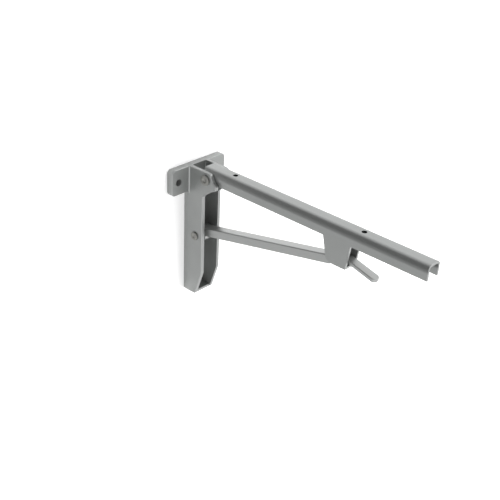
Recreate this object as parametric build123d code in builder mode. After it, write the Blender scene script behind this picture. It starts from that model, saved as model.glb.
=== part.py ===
from build123d import *
import os
from math import cos, radians, sin, tan

# Folding shelf bracket, shown open. X runs out from the wall along the arm, Y along the wall,
# Z up. The wall face is X = 0, Y = 0 is the plane of symmetry, and the arm's pivot is at Z = 0.

# Arm, a folded steel channel that is open downwards
arm_reach = 300.0
arm_width = 18.2
arm_height = 15.4
arm_top_z = 11.3
sheet = 2.6
arm_bend_radius = 4.8
arm_lobe_radius = 7.0
arm_lobe_run = 9.8
arm_lobe_blend = 3.0
arm_screw_radius = 2.65
arm_screw_x = (60.5, 224.0)

# Latch box, the two ears of the channel's legs and the keeper web that joins them
latch_front_x = 184.1
latch_ear_length = 32.4
latch_front_lean = 5.2
latch_corner_run = 6.2
latch_corner_rise = 3.8
latch_back_lean = 3.8
latch_bottom_round = 1.2
latch_blend = 1.6
latch_heel_round = 0.8
keeper_above_shoulder = 3.45
keeper_gap = 0.35

# Wall bracket, one casting: a cross flange for the wall screws and two cheeks
flange_thickness = 7.4
flange_width = 76.6
flange_bottom_z = -20.8
flange_corner_round = 4.6
wall_screw_radius = 3.85
wall_screw_spacing = 57.7
wall_screw_z = -6.5
cast_top_z = 8.3
cast_bottom_z = -143.1
cheek_thickness = 4.1
cheek_depth = 27.0
foot_depth = 17.0
foot_height = 29.8
foot_top_round = 1.5
foot_toe_round = 1.2
back_web = 3.0
foot_web = 2.9
foot_web_reach = 16.6
root_fillet = 1.6
wing_root_chamfer = 2.2
cast_edge_round = 1.0
pocket_corner = 1.2

# Ear, the nose of each cheek in front of the arm's pivot
ear_shoulder_x = 37.3
ear_shoulder_round = 4.5
ear_waist = (42.0, -0.3)
ear_waist_round = 3.0
ear_nose_top = (46.3, -3.0)
ear_nose_round = 2.4
ear_nose_bottom = (45.6, -8.1)
ear_chin_round = 2.8
ear_belly = (37.8, -12.2)
ear_belly_round = 9.0
ear_root_z = -20.6
ear_root_round = 4.0

# Pivots
arm_pivot = (31.2, 0.0)
strut_pivot = (16.4, -70.7)
arm_pin_radius = 4.0
arm_head_radius = 5.8
arm_head_height = 1.9
strut_pin_radius = 3.3
strut_head_radius = 4.75
strut_head_height = 1.6
head_bevel = 0.6
running_fit = 0.06
side_play = 0.1
arm_washer_radius = 6.2
arm_washer_thickness = 0.4
spacer_radius = 6.6

# Strut, a flat steel bar with a latch shoulder and a thin release lever at its end
strut_slope = 12.55
strut_side_gap = 0.6
strut_top_offset = 7.45
strut_depth = 9.7
strut_eye_radius = 8.4
strut_edge_round = 1.1
shoulder_x = 191.4
shoulder_slope = 40.0
lever_thickness = 4.0
lever_width = 10.0
lever_apex_x = 209.0
lever_drop = 14.5
lever_tip_x = 245.0
lever_bend_round = 4.0
lever_tip_round = 4.5
lever_edge_round = 0.8

# How far apart two places may lie and still be taken as one
same_place = 0.01

arm_half = arm_width / 2
arm_leg_z = arm_top_z - arm_height
arm_inner_half = arm_half - sheet
channel_half = arm_half + arm_washer_thickness + 2 * side_play
cheek_half = channel_half + cheek_thickness
strut_half = arm_inner_half - strut_side_gap
lever_half = lever_width / 2
strut_bottom_offset = strut_top_offset - strut_depth
lever_under_offset = strut_top_offset - lever_thickness


def near(value, target):
    """Whether a measure lies at this target."""
    return abs(value - target) < same_place


def rounded_outline(corners):
    """Draw a closed outline from pairs of a corner and the radius that rounds it."""
    Polygon(*[place for place, radius in corners], align=None)
    for place, radius in corners:
        if radius:
            fillet(vertices().sort_by_distance(Vector(*place))[0], radius)


def strut_z(offset, x):
    """Height at x of the line that runs along the strut at this offset from its pivot."""
    slope = radians(strut_slope)
    return strut_pivot[1] + offset / cos(slope) + (x - strut_pivot[0]) * tan(slope)


def meet_strut_line(offset, start, slope_deg):
    """Where a line from start at this slope crosses the strut line at this offset."""
    slope = tan(radians(slope_deg))
    run = (strut_z(offset, start[0]) - start[1]) / (slope - tan(radians(strut_slope)))
    return (start[0] + run, start[1] + run * slope)


shoulder_low = (shoulder_x, strut_z(strut_bottom_offset, shoulder_x))
shoulder_high = meet_strut_line(lever_under_offset, shoulder_low, shoulder_slope)
latch_bottom_z = shoulder_low[1] + keeper_above_shoulder
keeper_top_z = latch_bottom_z + sheet


# Wall bracket casting
cheek_corners = [
    ((0, cast_top_z), 0),
    ((ear_shoulder_x, cast_top_z), ear_shoulder_round),
    (ear_waist, ear_waist_round),
    (ear_nose_top, ear_nose_round),
    (ear_nose_bottom, ear_chin_round),
    (ear_belly, ear_belly_round),
    ((cheek_depth, ear_root_z), ear_root_round),
    ((cheek_depth, cast_bottom_z + foot_height), foot_top_round),
    ((foot_depth, cast_bottom_z), foot_toe_round),
    ((0, cast_bottom_z), 0),
]

with BuildPart() as wall_bracket:
    with BuildSketch(Plane.XZ):
        rounded_outline(cheek_corners)
    extrude(amount=cheek_half, both=True)
    with BuildSketch(Plane.YZ):
        with Locations((0, (cast_top_z + flange_bottom_z) / 2)):
            RectangleRounded(flange_width, cast_top_z - flange_bottom_z, flange_corner_round)
    extrude(amount=flange_thickness)
    # The wings run into the cheeks with a bevel below them and a fillet in front of them
    wing_roots = edges().filter_by(Axis.X).filter_by(
        lambda e: near(abs(e.center().Y), cheek_half) and near(e.center().Z, flange_bottom_z))
    chamfer(wing_roots, wing_root_chamfer)
    wing_corners = edges().filter_by(Axis.Z).filter_by(
        lambda e: near(abs(e.center().Y), cheek_half) and near(e.center().X, flange_thickness))
    fillet(wing_corners, root_fillet)
    # The pocket between the cheeks is open at the front and the top
    pocket_bottom = cast_bottom_z + foot_web
    with BuildSketch(Plane.YZ.offset(back_web)):
        with Locations((0, (flange_bottom_z + pocket_bottom) / 2)):
            Rectangle(2 * channel_half, flange_bottom_z - pocket_bottom)
    extrude(amount=arm_reach, mode=Mode.SUBTRACT)
    with BuildSketch(Plane.YZ.offset(flange_thickness)):
        with Locations((0, (flange_bottom_z + cast_top_z) / 2)):
            Rectangle(2 * channel_half, cast_top_z - flange_bottom_z)
    extrude(amount=arm_reach, mode=Mode.SUBTRACT)
    # The foot's web stops short, so the folded strut has room in front of it
    with BuildSketch(Plane.YZ.offset(foot_web_reach)):
        with Locations((0, cast_bottom_z + foot_web / 2)):
            Rectangle(2 * channel_half, foot_web)
    extrude(amount=arm_reach, mode=Mode.SUBTRACT)
    pocket_roots = edges().filter_by(Axis.Z).filter_by(
        lambda e: near(abs(e.center().Y), channel_half)
        and (near(e.center().X, back_web) or near(e.center().X, flange_thickness)))
    fillet(pocket_roots, pocket_corner)
    # One rounding runs along the flange's rim, the tops of the cheeks and their front edges
    cheek_sides = faces().filter_by(Axis.Y).filter_by(lambda f: near(abs(f.center().Y), cheek_half))
    cheek_rims = cheek_sides.edges().filter_by(
        lambda e: e.center().X > flange_thickness + root_fillet + same_place
        or e.center().Z < cast_bottom_z + same_place)
    wing_faces = faces().filter_by(Axis.X).filter_by(
        lambda f: near(f.center().X, flange_thickness) and abs(f.center().Y) > cheek_half)
    wing_rims = wing_faces.edges().filter_by(lambda e: abs(e.center().Y) > cheek_half + 2 * root_fillet)
    fillet(cheek_rims + wing_rims, cast_edge_round)
    with BuildSketch(Plane.XZ):
        with Locations(arm_pivot):
            Circle(arm_pin_radius)
        with Locations(strut_pivot):
            Circle(strut_pin_radius)
    extrude(amount=cheek_half, both=True, mode=Mode.SUBTRACT)
    with BuildSketch(Plane.YZ):
        with Locations((0, wall_screw_z)):
            with GridLocations(wall_screw_spacing, 0, 2, 1):
                Circle(wall_screw_radius)
    extrude(amount=flange_thickness, mode=Mode.SUBTRACT)
wall_bracket.part.label = "wall_bracket"


# Arm channel with its latch box
arm_tail_x = arm_pivot[0] - arm_lobe_radius
lobe_front_x = arm_pivot[0] + arm_lobe_radius
leg_top_z = arm_top_z - arm_bend_radius
latch_depth = arm_leg_z - latch_bottom_z
latch_back_top_x = latch_front_x + latch_ear_length
latch_back_bottom_x = latch_back_top_x - latch_back_lean
latch_corner_x = latch_front_x + latch_front_lean
leg_corners = [
    ((arm_tail_x, leg_top_z), 0),
    ((arm_tail_x, -arm_lobe_radius), arm_lobe_radius),
    ((lobe_front_x, -arm_lobe_radius), arm_lobe_blend),
    ((lobe_front_x + arm_lobe_run, arm_leg_z), arm_lobe_blend),
    ((latch_front_x, arm_leg_z), latch_blend),
    ((latch_corner_x, latch_bottom_z + latch_corner_rise), latch_blend),
    ((latch_corner_x + latch_corner_run, latch_bottom_z), latch_blend),
    ((latch_back_bottom_x, latch_bottom_z), latch_heel_round),
    ((latch_back_top_x, arm_leg_z), latch_blend),
    ((arm_reach, arm_leg_z), 0),
    ((arm_reach, leg_top_z), 0),
]


def shoulder_face_x(z):
    """Where the keeper's bevel lies beside the strut's shoulder at this height."""
    slope = radians(shoulder_slope)
    return shoulder_low[0] + (z - shoulder_low[1]) / tan(slope) + keeper_gap / sin(slope)


keeper_outline = [
    (shoulder_face_x(latch_bottom_z), latch_bottom_z),
    (shoulder_face_x(keeper_top_z), keeper_top_z),
    (latch_back_bottom_x + latch_back_lean * sheet / latch_depth, keeper_top_z),
    (latch_back_bottom_x, latch_bottom_z),
]

with BuildPart() as arm_channel:
    with BuildSketch(Plane.YZ.offset(arm_tail_x)):
        with Locations((0, arm_top_z - arm_height / 2)):
            Rectangle(arm_width, arm_height)
        fillet(vertices().group_by(Axis.Y)[-1], arm_bend_radius)
        with Locations((0, arm_top_z - sheet - arm_height / 2)):
            RectangleRounded(2 * arm_inner_half, arm_height, arm_bend_radius - sheet, mode=Mode.SUBTRACT)
        with Locations((0, arm_leg_z)):
            Rectangle(2 * arm_inner_half, arm_height, mode=Mode.SUBTRACT)
    extrude(amount=arm_reach - arm_tail_x)
    for leg_side in (arm_inner_half, -arm_half):
        with BuildSketch(Plane.XZ.offset(leg_side)):
            rounded_outline(leg_corners)
        extrude(amount=sheet)
    with BuildSketch(Plane.XZ):
        Polygon(*keeper_outline, align=None)
    extrude(amount=arm_inner_half, both=True)
    # The outer corners of the box's two lower folds
    box_height = 2 * (arm_top_z - latch_bottom_z)
    with BuildSketch(Plane.YZ.offset(latch_front_x)):
        with Locations((0, latch_bottom_z + box_height / 2)):
            Rectangle(arm_width, box_height)
            RectangleRounded(arm_width, box_height, latch_bottom_round, mode=Mode.SUBTRACT)
    extrude(amount=latch_ear_length, mode=Mode.SUBTRACT)
    with BuildSketch(Plane.XZ):
        with Locations(arm_pivot):
            Circle(arm_pin_radius + running_fit)
    extrude(amount=arm_half, both=True, mode=Mode.SUBTRACT)
    with BuildSketch(Plane.XY.offset(arm_top_z)):
        with Locations(*[(x, 0) for x in arm_screw_x]):
            Circle(arm_screw_radius)
    extrude(amount=-sheet, mode=Mode.SUBTRACT)
arm_channel.part.label = "arm_channel"


# Strut with its eye, its latch shoulder and the release lever
lever_slope = radians(-lever_drop)
lever_apex = (lever_apex_x, strut_z(strut_top_offset, lever_apex_x))
lever_under = (lever_apex[0] + lever_thickness * sin(lever_slope),
               lever_apex[1] - lever_thickness * cos(lever_slope))
lever_under_apex = meet_strut_line(lever_under_offset, lever_under, -lever_drop)


def along_lever(start):
    """Follow the bent lever from start to its tip."""
    run = lever_tip_x - lever_apex_x
    return (start[0] + run, start[1] + run * tan(lever_slope))


lever_corners = [
    ((shoulder_x, strut_z(lever_under_offset, shoulder_x)), 0),
    (lever_under_apex, lever_bend_round),
    (along_lever(lever_under), 0),
    (along_lever(lever_apex), 0),
    (lever_apex, lever_bend_round + lever_thickness),
    ((shoulder_x, strut_z(strut_top_offset, shoulder_x)), 0),
]
bar_outline = [
    (strut_pivot[0], strut_z(strut_bottom_offset, strut_pivot[0])),
    shoulder_low,
    shoulder_high,
    (shoulder_high[0], strut_z(strut_top_offset, shoulder_high[0])),
    (strut_pivot[0], strut_z(strut_top_offset, strut_pivot[0])),
]

with BuildPart() as lever:
    with BuildSketch(Plane.XZ):
        rounded_outline(lever_corners)
    extrude(amount=lever_half, both=True)
    tip_corners = edges().filter_by(
        lambda e: e.center().X > lever_tip_x - lever_thickness and near(abs(e.center().Y), lever_half)
        and e.length < lever_width)
    fillet(tip_corners, lever_tip_round)
    long_edges = edges().filter_by(
        lambda e: e.center().X > lever_apex_x and near(abs(e.center().Y), lever_half)
        and e.length > lever_width)
    fillet(long_edges, lever_edge_round)

with BuildPart() as strut:
    with BuildSketch(Plane.XZ):
        Polygon(*bar_outline, align=None)
    extrude(amount=strut_half, both=True)
    fillet(edges().filter_by(lambda e: e.length > 2 * strut_eye_radius), strut_edge_round)
    with BuildSketch(Plane.XZ):
        with Locations(strut_pivot):
            Circle(strut_eye_radius)
    extrude(amount=strut_half, both=True)
    add(lever.part)
    with BuildSketch(Plane.XZ):
        with Locations(strut_pivot):
            Circle(strut_pin_radius + running_fit)
    extrude(amount=strut_half, both=True, mode=Mode.SUBTRACT)
strut.part.label = "strut"


def pivot_plane(pivot, y):
    """A plane across a pivot's axis at this distance from the plane of symmetry."""
    return Plane(origin=(pivot[0], y, pivot[1]), x_dir=(1, 0, 0), z_dir=(0, 1, 0))


def rivet_heads(pivot, radius, height):
    """The two bevelled rivet heads on the outer faces of the cheeks."""
    with BuildPart() as made:
        with BuildSketch(pivot_plane(pivot, cheek_half)):
            Circle(radius)
        extrude(amount=height)
        chamfer(faces().sort_by(Axis.Y)[-1].edges(), head_bevel)
        mirror(about=Plane.XZ)
    return made.part


# Arm pivot, a rivet through both cheeks and both legs of the channel
with BuildPart() as arm_pivot_rivet:
    with BuildSketch(pivot_plane(arm_pivot, 0)):
        Circle(arm_pin_radius)
    extrude(amount=cheek_half, both=True)
    add(rivet_heads(arm_pivot, arm_head_radius, arm_head_height))
arm_pivot_rivet.part.label = "arm_pivot_rivet"

# Strut pivot, the shank that turns in the strut's eye and the two riveted ends in the cheeks
with BuildPart() as strut_pivot_pin:
    with BuildSketch(pivot_plane(strut_pivot, 0)):
        Circle(strut_pin_radius)
    extrude(amount=channel_half - side_play, both=True)
strut_pivot_pin.part.label = "strut_pivot_pin"

with BuildPart() as strut_rivet_ends:
    for side in (1, -1):
        with BuildSketch(pivot_plane(strut_pivot, side * channel_half)):
            Circle(strut_pin_radius)
        extrude(amount=side * cheek_thickness)
    add(rivet_heads(strut_pivot, strut_head_radius, strut_head_height))
strut_rivet_ends.part.label = "strut_rivet_ends"


def ring(pivot, inner, outer, y_from, y_to):
    """A washer or spacer on a pivot between two distances from the plane of symmetry."""
    with BuildPart() as made:
        with BuildSketch(pivot_plane(pivot, y_from)):
            Circle(outer)
            Circle(inner, mode=Mode.SUBTRACT)
        extrude(amount=y_to - y_from)
    return made.part


# Washers beside the channel's legs and spacers beside the strut's eye
rings = []
for side_name, side in (("right", 1), ("left", -1)):
    washer = ring(arm_pivot, arm_pin_radius + running_fit, arm_washer_radius,
                  side * (arm_half + side_play),
                  side * (arm_half + side_play + arm_washer_thickness))
    washer.label = f"arm_washer_{side_name}"
    spacer = ring(strut_pivot, strut_pin_radius + running_fit, spacer_radius,
                  side * (strut_half + side_play), side * (channel_half - side_play))
    spacer.label = f"strut_spacer_{side_name}"
    rings += [washer, spacer]

pieces = [wall_bracket.part, arm_channel.part, strut.part, arm_pivot_rivet.part,
          strut_pivot_pin.part, strut_rivet_ends.part] + rings
os.makedirs("parts", exist_ok=True)
for piece in pieces:
    export_step(piece, f"parts/{piece.label}.step")
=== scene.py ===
import bpy
import math
from mathutils import Matrix, Vector


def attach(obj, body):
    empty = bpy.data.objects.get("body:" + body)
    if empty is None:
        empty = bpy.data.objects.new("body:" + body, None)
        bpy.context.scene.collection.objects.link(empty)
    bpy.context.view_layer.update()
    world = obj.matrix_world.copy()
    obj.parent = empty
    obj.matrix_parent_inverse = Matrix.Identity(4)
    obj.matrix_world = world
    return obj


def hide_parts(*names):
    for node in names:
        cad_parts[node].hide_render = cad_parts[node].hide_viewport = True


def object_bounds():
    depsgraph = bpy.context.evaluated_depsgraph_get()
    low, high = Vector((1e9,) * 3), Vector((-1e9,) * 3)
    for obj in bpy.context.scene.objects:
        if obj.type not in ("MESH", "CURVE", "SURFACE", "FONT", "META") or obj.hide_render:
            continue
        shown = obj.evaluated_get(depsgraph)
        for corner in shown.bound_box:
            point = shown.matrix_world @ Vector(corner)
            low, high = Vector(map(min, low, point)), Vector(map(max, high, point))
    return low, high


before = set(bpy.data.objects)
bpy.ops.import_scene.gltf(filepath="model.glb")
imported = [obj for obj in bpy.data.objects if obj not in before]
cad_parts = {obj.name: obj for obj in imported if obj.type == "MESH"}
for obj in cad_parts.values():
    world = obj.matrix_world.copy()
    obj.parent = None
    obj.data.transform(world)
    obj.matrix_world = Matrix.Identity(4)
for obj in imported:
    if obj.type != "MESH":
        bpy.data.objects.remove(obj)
cad_box = [list(corner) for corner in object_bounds()]

# Camera
# The view of the open bracket from its left and above, with a 67 mm lens on a full-frame sensor.
# The camera stands about a metre away and leans a little to one side, as the picture does.
VIEW_AZIMUTH = 42.14
VIEW_ELEVATION = 29.15
VIEW_ROLL = 2.66
VIEW_PLACE = (0.65046, -0.62507, 0.40513)
VIEW_LENS_MM = 67.07
SENSOR_MM = 36.0

bpy.ops.object.select_all(action="DESELECT")
bpy.ops.object.camera_add(location=VIEW_PLACE)
camera = bpy.context.object
camera.name = "studio_camera"
camera.data.lens = VIEW_LENS_MM
camera.data.sensor_width = SENSOR_MM
camera.rotation_mode = "QUATERNION"
turn = (Matrix.Rotation(math.radians(VIEW_AZIMUTH), 3, "Z")
        @ Matrix.Rotation(math.radians(90 - VIEW_ELEVATION), 3, "X")
        @ Matrix.Rotation(math.radians(VIEW_ROLL), 3, "Z"))
camera.rotation_quaternion = turn.to_quaternion()
bpy.context.scene.camera = camera
bpy.context.scene.view_settings.view_transform = "Standard"


# Wall bracket
# A die casting with a cross flange for two wall screws and two cheeks that hold both pivots. It is
# powder coated satin silver-grey, so its surface is a little wavy with fine metallic grain. The
# flakes of the real coat are finer, and they are drawn this coarse so that they show.
FLAKE_MM = 0.35
CLOUD_MM = 22.0
FLAKE_RELIEF = 0.25
RELIEF_STRENGTH = 0.10
RELIEF_DEPTH = 0.0002
ROUGHNESS_BELOW = 0.04
ROUGHNESS_ABOVE = 0.05
COAT_METALLIC = 0.75


def linear(hex_colour):
    """Turns an sRGB hex colour into linear values."""
    values = []
    for start in (1, 3, 5):
        value = int(hex_colour[start:start + 2], 16) / 255
        values.append(value / 12.92 if value <= 0.04045 else ((value + 0.055) / 1.055) ** 2.4)
    return (*values, 1.0)


def add_node(tree, kind, settings=None, links=None):
    """Adds one node, sets its values and links its inputs to other nodes' outputs."""
    node = tree.nodes.new(kind)
    for name, value in (settings or {}).items():
        if isinstance(name, int) or name in node.inputs:
            node.inputs[name].default_value = value
        else:
            setattr(node, name, value)
    for name, source in (links or {}).items():
        tree.links.new(source, node.inputs[name])
    return node


def satin_coat(name, tones, peel_mm, roughness):
    """Satin metallic coat over metal, with orange peel of this spacing, flakes and faint clouds."""
    material = bpy.data.materials.new(name)
    material.use_nodes = True
    tree = material.node_tree
    shader = tree.nodes["Principled BSDF"]
    place = add_node(tree, "ShaderNodeTexCoord")
    peel = add_node(tree, "ShaderNodeTexNoise",
                    {"Scale": 1000 / peel_mm, "Detail": 2.0, "Roughness": 0.45},
                    {"Vector": place.outputs["Object"]})
    grain = add_node(tree, "ShaderNodeTexNoise",
                     {"Scale": 1000 / FLAKE_MM, "Detail": 1.0}, {"Vector": place.outputs["Object"]})
    cloud = add_node(tree, "ShaderNodeTexNoise",
                     {"Scale": 1000 / CLOUD_MM, "Detail": 3.0}, {"Vector": place.outputs["Object"]})
    tone = add_node(tree, "ShaderNodeMixRGB",
                    {"Color1": linear(tones[0]), "Color2": linear(tones[1])},
                    {"Fac": cloud.outputs["Fac"]})
    rough = add_node(tree, "ShaderNodeMapRange",
                     {"To Min": roughness - ROUGHNESS_BELOW, "To Max": roughness + ROUGHNESS_ABOVE},
                     {"Value": grain.outputs["Fac"]})
    relief = add_node(tree, "ShaderNodeMath", {"operation": "MULTIPLY_ADD", 1: FLAKE_RELIEF},
                      {0: grain.outputs["Fac"], 2: peel.outputs["Fac"]})
    bump = add_node(tree, "ShaderNodeBump",
                    {"Strength": RELIEF_STRENGTH, "Distance": RELIEF_DEPTH},
                    {"Height": relief.outputs["Value"]})
    tree.links.new(tone.outputs["Color"], shader.inputs["Base Color"])
    tree.links.new(rough.outputs["Result"], shader.inputs["Roughness"])
    tree.links.new(bump.outputs["Normal"], shader.inputs["Normal"])
    shader.inputs["Metallic"].default_value = COAT_METALLIC
    return material


def dress(node, material):
    """Gives a carried-over piece its material."""
    node.data.materials.clear()
    node.data.materials.append(material)


cast_coat = satin_coat("cast_powder_coat", ("#999B9A", "#A1A3A2"), 1.6, 0.42)
dress(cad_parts["wall_bracket"], cast_coat)

# Arm
# A steel sheet folded to a channel that is open downwards, with the latch box under its middle. Its
# satin coat is smoother than the casting's, because rolled sheet lies under it. The walls of its two
# screw holes are painted dark, as painted shade, and its folds run out softly into the sides.
SCREW_HOLE_X = (0.0605, 0.2240)
SCREW_HOLE_RADIUS = 0.0027
FOLD_STARTS_Z = 0.0030
FOLD_ENDS_Z = 0.0099
FOLD_DEPTH = 0.0014

sheet_coat = satin_coat("sheet_powder_coat", ("#989A99", "#9FA1A0"), 1.1, 0.38)
tree = sheet_coat.node_tree
shader = tree.nodes["Principled BSDF"]
coat_tone = shader.inputs["Base Color"].links[0].from_socket
place = add_node(tree, "ShaderNodeTexCoord")
from_above = add_node(tree, "ShaderNodeVectorMath", {"operation": "MULTIPLY", 1: (1, 1, 0)},
                      {0: place.outputs["Object"]})
# Painted shade: inside the two screw holes the coat's colour gives way to a dark grey.
bores = []
for hole_x in SCREW_HOLE_X:
    off_axis = add_node(tree, "ShaderNodeVectorMath", {"operation": "DISTANCE", 1: (hole_x, 0, 0)},
                        {0: from_above.outputs["Vector"]})
    bores.append(add_node(tree, "ShaderNodeMath", {"operation": "LESS_THAN", 1: SCREW_HOLE_RADIUS},
                          {0: off_axis.outputs["Value"]}))
bore_shade_mask = add_node(tree, "ShaderNodeMath", {"operation": "MAXIMUM"},
                 {0: bores[0].outputs["Value"], 1: bores[1].outputs["Value"]})
painted_bore_shade = add_node(tree, "ShaderNodeMixRGB", {"Color2": linear("#2A2B2B")},
                {"Fac": bore_shade_mask.outputs["Value"], "Color1": coat_tone})
tree.links.new(painted_bore_shade.outputs["Color"], shader.inputs["Base Color"])
height = add_node(tree, "ShaderNodeSeparateXYZ", {}, {"Vector": place.outputs["Object"]})
fold = add_node(tree, "ShaderNodeMapRange",
                {"From Min": FOLD_STARTS_Z, "From Max": FOLD_ENDS_Z, "To Min": 0.0,
                 "To Max": -FOLD_DEPTH, "interpolation_type": "SMOOTHSTEP"},
                {"Value": height.outputs["Z"]})
soft_fold = add_node(tree, "ShaderNodeBump", {"Strength": 1.0, "Distance": 1.0},
                     {"Height": fold.outputs["Result"]})
peel_bump = shader.inputs["Normal"].links[0].from_node
tree.links.new(soft_fold.outputs["Normal"], peel_bump.inputs["Normal"])
dress(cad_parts["arm_channel"], sheet_coat)

# Strut
# A flat steel bar with an eye at the wall, a latch shoulder and a thin release lever bent down.
# It has the arm's satin coat, a shade lighter to the eye, and its long edges are rounded off.
bar_coat = satin_coat("bar_powder_coat", ("#A5A6A5", "#ACAEAD"), 1.1, 0.38)
dress(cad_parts["strut"], bar_coat)

# Rivets
# Zinc-plated steel rivets through the cheeks at both pivots. Their low heads are rounded at the rim,
# and each has a round dimple in the middle, where the riveting tool spread it.
rivet_steel = satin_coat("rivet_steel", ("#878783", "#90908C"), 1.0, 0.36)
CHEEK_OUTSIDE = 0.0138
ARM_PIVOT = (0.0312, 0)
STRUT_PIVOT = (0.0164, -0.0707)
RIM_ROUND = 0.0005
DIMPLE_SLOPE = 0.3
DIMPLE_DEPTH = 0.35


def rivet(name, place, head_radius, head_height, shank_radius, reach, dimple_radius):
    """The two heads of a rivet on the cheeks, each with its shank as far as this reach."""
    bpy.ops.object.select_all(action="DESELECT")
    bpy.ops.mesh.primitive_cylinder_add(
        vertices=64, radius=head_radius, depth=head_height, rotation=(math.radians(90), 0, 0),
        location=(place[0], -CHEEK_OUTSIDE - head_height / 2, place[1]))
    made = bpy.context.object
    made.name = name
    bpy.ops.object.transform_apply(location=True, rotation=True, scale=True)
    bpy.ops.object.mode_set(mode="EDIT")
    bpy.ops.mesh.select_mode(type="FACE")
    bpy.ops.mesh.select_all(action="DESELECT")
    bpy.ops.object.mode_set(mode="OBJECT")
    for side in (1, -1):
        for face in made.data.polygons:
            face.select = face.normal.y * side > 0.9
        bpy.ops.object.mode_set(mode="EDIT")
        if side > 0:
            bpy.ops.mesh.inset(thickness=head_radius - shank_radius)
            bpy.ops.mesh.extrude_region_move(TRANSFORM_OT_translate={"value": (0, reach, 0)})
        else:
            bpy.ops.mesh.inset(thickness=head_radius - dimple_radius)
            bpy.ops.mesh.inset(thickness=DIMPLE_SLOPE * dimple_radius,
                               depth=-DIMPLE_DEPTH * dimple_radius)
        bpy.ops.mesh.select_all(action="DESELECT")
        bpy.ops.object.mode_set(mode="OBJECT")
    rim = made.modifiers.new("rim", "BEVEL")
    rim.width = RIM_ROUND
    rim.segments = 3
    rim.limit_method = "ANGLE"
    rim.angle_limit = math.radians(35)
    bpy.ops.object.modifier_apply(modifier=rim.name)
    other_end = made.modifiers.new("other_end", "MIRROR")
    other_end.use_axis = (False, True, False)
    other_end.use_mirror_merge = False
    bpy.ops.object.modifier_apply(modifier=other_end.name)
    bpy.ops.object.shade_smooth_by_angle(angle=math.radians(40))
    made.data.materials.append(rivet_steel)
    return made


arm_rivet = rivet("arm_rivet", ARM_PIVOT, head_radius=0.0058, head_height=0.0019,
                  shank_radius=0.0040, reach=CHEEK_OUTSIDE, dimple_radius=0.0026)
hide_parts("arm_pivot_rivet")
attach(arm_rivet, "bracket")
strut_rivet = rivet("strut_rivet", STRUT_PIVOT, head_radius=0.00475, head_height=0.0016,
                    shank_radius=0.0033, reach=0.0041, dimple_radius=0.0021)
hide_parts("strut_rivet_ends")
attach(strut_rivet, "bracket")
dress(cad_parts["strut_pivot_pin"], rivet_steel)

# Washers and spacers
# Plain steel rings that take up the play between the cheeks, the channel's legs and the strut's eye.
# They are pressed from sheet and tumbled, which leaves them an even, dull grey.
washer_steel = satin_coat("washer_steel", ("#8E9090", "#969898"), 1.0, 0.40)
for name in ("arm_washer_left", "arm_washer_right", "strut_spacer_left", "strut_spacer_right"):
    dress(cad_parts[name], washer_steel)

# Wall and floor
# A white wall behind the bracket that takes its soft shadow, and a pale floor well below it. The
# wall has dark discs of painted shade behind the two screw holes and isn't there from behind, so that
# views of the back show the bracket. Mirrors see the wall only close round the bracket, and they look
# past the floor.
STAGE_SIZE = 6.0
WALL_GAP = 0.0003
FLOOR_DROP = 0.75
FLANGE_TOP = 0.0083
FLANGE_BOTTOM = -0.0208
FLANGE_HALF = cad_box[1][1]
CHEEK_BOTTOM = cad_box[0][2]
HOLE_Y = 0.02885
HOLE_Z = -0.0065
HOLE_RADIUS = 0.0036
MIRRORED_WITHIN = (0.004, 0.030)
WALL_GLOW = 0.36
FLOOR_GLOW = 0.6
STAGE_WHITE = linear("#E7E7E7")

wall_paint = bpy.data.materials.new("wall_paint")
wall_paint.use_nodes = True
wall_tree = wall_paint.node_tree
wall_tree.nodes.remove(wall_tree.nodes["Principled BSDF"])
on_wall = add_node(wall_tree, "ShaderNodeTexCoord")


def beyond(middle_z, half_height, half_width):
    """Per axis, how far a point lies outside a box on the wall, whose own X points down."""
    from_middle = add_node(wall_tree, "ShaderNodeVectorMath",
                           {"operation": "SUBTRACT", 1: (-middle_z, 0, 0)},
                           {0: on_wall.outputs["Object"]})
    size = add_node(wall_tree, "ShaderNodeVectorMath", {"operation": "ABSOLUTE"},
                    {0: from_middle.outputs["Vector"]})
    return add_node(wall_tree, "ShaderNodeVectorMath",
                    {"operation": "SUBTRACT", 1: (half_height, half_width, 0)},
                    {0: size.outputs["Vector"]}).outputs["Vector"]


def length_of(vector):
    """The length of a vector on the wall."""
    return add_node(wall_tree, "ShaderNodeVectorMath", {"operation": "LENGTH"},
                    {0: vector}).outputs["Value"]


def clear_of(top, bottom, half_width):
    """How far a point of the wall lies from a box behind the bracket, with zero inside it."""
    outside = add_node(wall_tree, "ShaderNodeVectorMath", {"operation": "MAXIMUM", 1: (0, 0, 0)},
                       {0: beyond((top + bottom) / 2, (top - bottom) / 2, half_width)})
    return length_of(outside.outputs["Vector"])


def seen_directly(tree):
    """One for what the camera, a mirror or a clear piece shows directly."""
    rays = add_node(tree, "ShaderNodeLightPath")
    mirrored = add_node(tree, "ShaderNodeMath", {"operation": "MAXIMUM"},
                        {0: rays.outputs["Is Glossy Ray"], 1: rays.outputs["Is Transmission Ray"]})
    return add_node(tree, "ShaderNodeMath", {"operation": "MAXIMUM"},
                    {0: rays.outputs["Is Camera Ray"], 1: mirrored.outputs["Value"]}).outputs["Value"]


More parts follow.
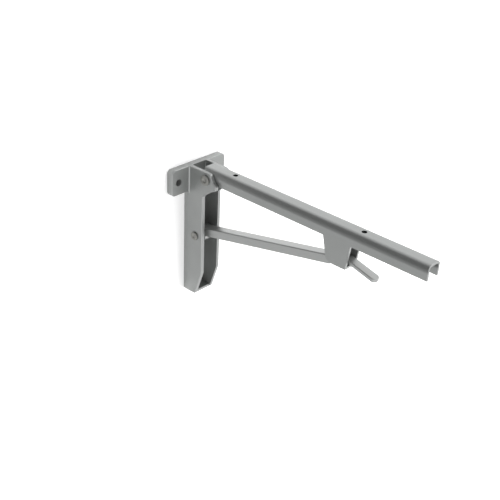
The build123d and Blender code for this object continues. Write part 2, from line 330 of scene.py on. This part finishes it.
nearest = add_node(wall_tree, "ShaderNodeMath", {"operation": "MINIMUM"},
                   {0: clear_of(FLANGE_TOP, FLANGE_BOTTOM, FLANGE_HALF),
                    1: clear_of(FLANGE_TOP, CHEEK_BOTTOM, CHEEK_OUTSIDE)})
close_round = add_node(wall_tree, "ShaderNodeMapRange",
                       {"From Min": MIRRORED_WITHIN[0], "From Max": MIRRORED_WITHIN[1],
                        "To Min": 1.0, "To Max": 0.0, "interpolation_type": "SMOOTHSTEP"},
                       {"Value": nearest.outputs["Value"]})
# Painted shade: the wall is coloured dark in discs behind the two screw holes.
hole_shade_mask = add_node(wall_tree, "ShaderNodeMath", {"operation": "LESS_THAN", 1: HOLE_RADIUS},
                   {0: length_of(beyond(HOLE_Z, 0, HOLE_Y))})
paint = add_node(wall_tree, "ShaderNodeMixRGB", {"Color1": STAGE_WHITE, "Color2": linear("#191919")},
                 {"Fac": hole_shade_mask.outputs["Value"]})
matt = add_node(wall_tree, "ShaderNodeBsdfDiffuse", {}, {"Color": paint.outputs["Color"]})
glow = add_node(wall_tree, "ShaderNodeMath", {"operation": "MULTIPLY", 1: WALL_GLOW},
                {0: seen_directly(wall_tree)})
shine = add_node(wall_tree, "ShaderNodeEmission", {},
                 {"Color": paint.outputs["Color"], "Strength": glow.outputs["Value"]})
white_wall = add_node(wall_tree, "ShaderNodeAddShader", {},
                      {0: matt.outputs["BSDF"], 1: shine.outputs["Emission"]})
rays = add_node(wall_tree, "ShaderNodeLightPath")
there = add_node(wall_tree, "ShaderNodeMath", {"operation": "MAXIMUM"},
                 {0: rays.outputs["Is Camera Ray"], 1: close_round.outputs["Result"]})
side = add_node(wall_tree, "ShaderNodeNewGeometry")
there_in_front = add_node(wall_tree, "ShaderNodeMath", {"operation": "SUBTRACT"},
                          {0: there.outputs["Value"], 1: side.outputs["Backfacing"]})
nothing = add_node(wall_tree, "ShaderNodeBsdfTransparent")
shown = add_node(wall_tree, "ShaderNodeMixShader", {},
                 {"Fac": there_in_front.outputs["Value"], 1: nothing.outputs["BSDF"],
                  2: white_wall.outputs["Shader"]})
wall_tree.links.new(shown.outputs["Shader"], wall_tree.nodes["Material Output"].inputs["Surface"])

bpy.ops.object.select_all(action="DESELECT")
bpy.ops.mesh.primitive_plane_add(size=STAGE_SIZE, location=(-WALL_GAP, 0, 0),
                                 rotation=(0, math.radians(90), 0))
wall = bpy.context.object
wall.name = "studio_wall"
wall.data.materials.append(wall_paint)
wall.visible_diffuse = False
wall.visible_shadow = False

floor_paint = bpy.data.materials.new("floor_paint")
floor_paint.use_nodes = True
floor_tree = floor_paint.node_tree
shader = floor_tree.nodes["Principled BSDF"]
shader.inputs["Base Color"].default_value = STAGE_WHITE
shader.inputs["Roughness"].default_value = 0.9
shader.inputs["Emission Color"].default_value = linear("#FFFFFF")
glow = add_node(floor_tree, "ShaderNodeMath", {"operation": "MULTIPLY", 1: FLOOR_GLOW},
                {0: seen_directly(floor_tree)})
floor_tree.links.new(glow.outputs["Value"], shader.inputs["Emission Strength"])
bpy.ops.object.select_all(action="DESELECT")
bpy.ops.mesh.primitive_plane_add(size=STAGE_SIZE, location=(0, 0, -FLOOR_DROP))
floor = bpy.context.object
floor.name = "studio_floor"
floor.data.materials.append(floor_paint)
floor.visible_glossy = False
floor.visible_diffuse = False
floor.visible_shadow = False

# Light
# A room that is white to the camera and in mirrors, with soft glows, one soft box low in front and
# two dark flags that only mirrors see. Tops come out light and sides mid grey, edges carry a thin
# rim, and the arm's fold mirrors the left flag.
ROOM_LIGHT = 0.09
KEY_PLACE = (0.90, 0.75, -0.25)
KEY_AIM = (0.1, 0, -0.05)
KEY_WIDTH = 1.6
KEY_HEIGHT = 1.3
KEY_WATTS = 26

world = bpy.data.worlds.new("studio_room")
bpy.context.scene.world = world
world.use_nodes = True
room_tree = world.node_tree
background = room_tree.nodes["Background"]
background.inputs["Color"].default_value = linear("#FFFFFF")
from_bracket = add_node(room_tree, "ShaderNodeTexCoord")


def soft_patch(direction, edge, strength):
    """A patch of the room in this direction, gone where its cosine falls to this edge."""
    aim = Vector(direction).normalized()
    cosine = add_node(room_tree, "ShaderNodeVectorMath", {"operation": "DOT_PRODUCT", 1: aim},
                      {0: from_bracket.outputs["Generated"]})
    fade = add_node(room_tree, "ShaderNodeMapRange",
                    {"From Min": edge, "From Max": 1.0, "To Min": 0.0, "To Max": strength,
                     "interpolation_type": "SMOOTHSTEP"}, {"Value": cosine.outputs["Value"]})
    return fade.outputs["Result"]


def added(patches):
    """The sum of some patches of the room."""
    total = patches[0]
    for patch in patches[1:]:
        total = add_node(room_tree, "ShaderNodeMath", {"operation": "ADD"},
                         {0: total, 1: patch}).outputs["Value"]
    return total


tops_glow = soft_patch((-0.70, 0.65, 0.31), 0.25, 1.4)
left_sides_glow = soft_patch((-0.66, -0.64, -0.44), 0.88, 0.95)
fronts_glow = soft_patch((0.62, 0.62, -0.48), 0.10, 0.48)
low_left_glow = soft_patch((0.59, -0.65, -0.49), 0.45, 1.40)
upper_rims_glow = soft_patch((0.42, 0.65, 0.64), 0.87, 2.9)
cut_ends_glow = soft_patch((0.29, 0.74, -0.605), 0.945, 1.3)
fold_foot_glow = soft_patch((-0.78, -0.57, 0.27), 0.95, 0.6)
fold_flag = soft_patch((-0.53, -0.70, 0.45), 0.52, 0.93)
fronts_flag = soft_patch((0.70, 0.62, -0.30), 0.20, 0.22)
glows = added([tops_glow, left_sides_glow, fronts_glow, low_left_glow, upper_rims_glow,
               cut_ends_glow, fold_foot_glow])
flags = added([fold_flag, fronts_flag])
lit_room = add_node(room_tree, "ShaderNodeMath", {"operation": "ADD", 1: ROOM_LIGHT}, {0: glows})
rays = add_node(room_tree, "ShaderNodeLightPath")
not_camera = add_node(room_tree, "ShaderNodeMath", {"operation": "SUBTRACT", 0: 1.0},
                      {1: rays.outputs["Is Camera Ray"]})
dark = add_node(room_tree, "ShaderNodeMath", {"operation": "MULTIPLY"},
                {0: flags, 1: not_camera.outputs["Value"]})
white_room = add_node(room_tree, "ShaderNodeMath", {"operation": "SUBTRACT"},
                      {0: seen_directly(room_tree), 1: dark.outputs["Value"]})
brighter = add_node(room_tree, "ShaderNodeMath", {"operation": "MAXIMUM"},
                    {0: lit_room.outputs["Value"], 1: white_room.outputs["Value"]})
room_tree.links.new(brighter.outputs["Value"], background.inputs["Strength"])

bpy.ops.object.light_add(type="AREA", location=KEY_PLACE)
key = bpy.context.object
key.name = "key_softbox"
key.data.shape = "RECTANGLE"
key.data.size = KEY_WIDTH
key.data.size_y = KEY_HEIGHT
key.data.energy = KEY_WATTS
key.visible_glossy = False
key.rotation_euler = (Vector(KEY_AIM) - key.location).to_track_quat("-Z", "Y").to_euler()
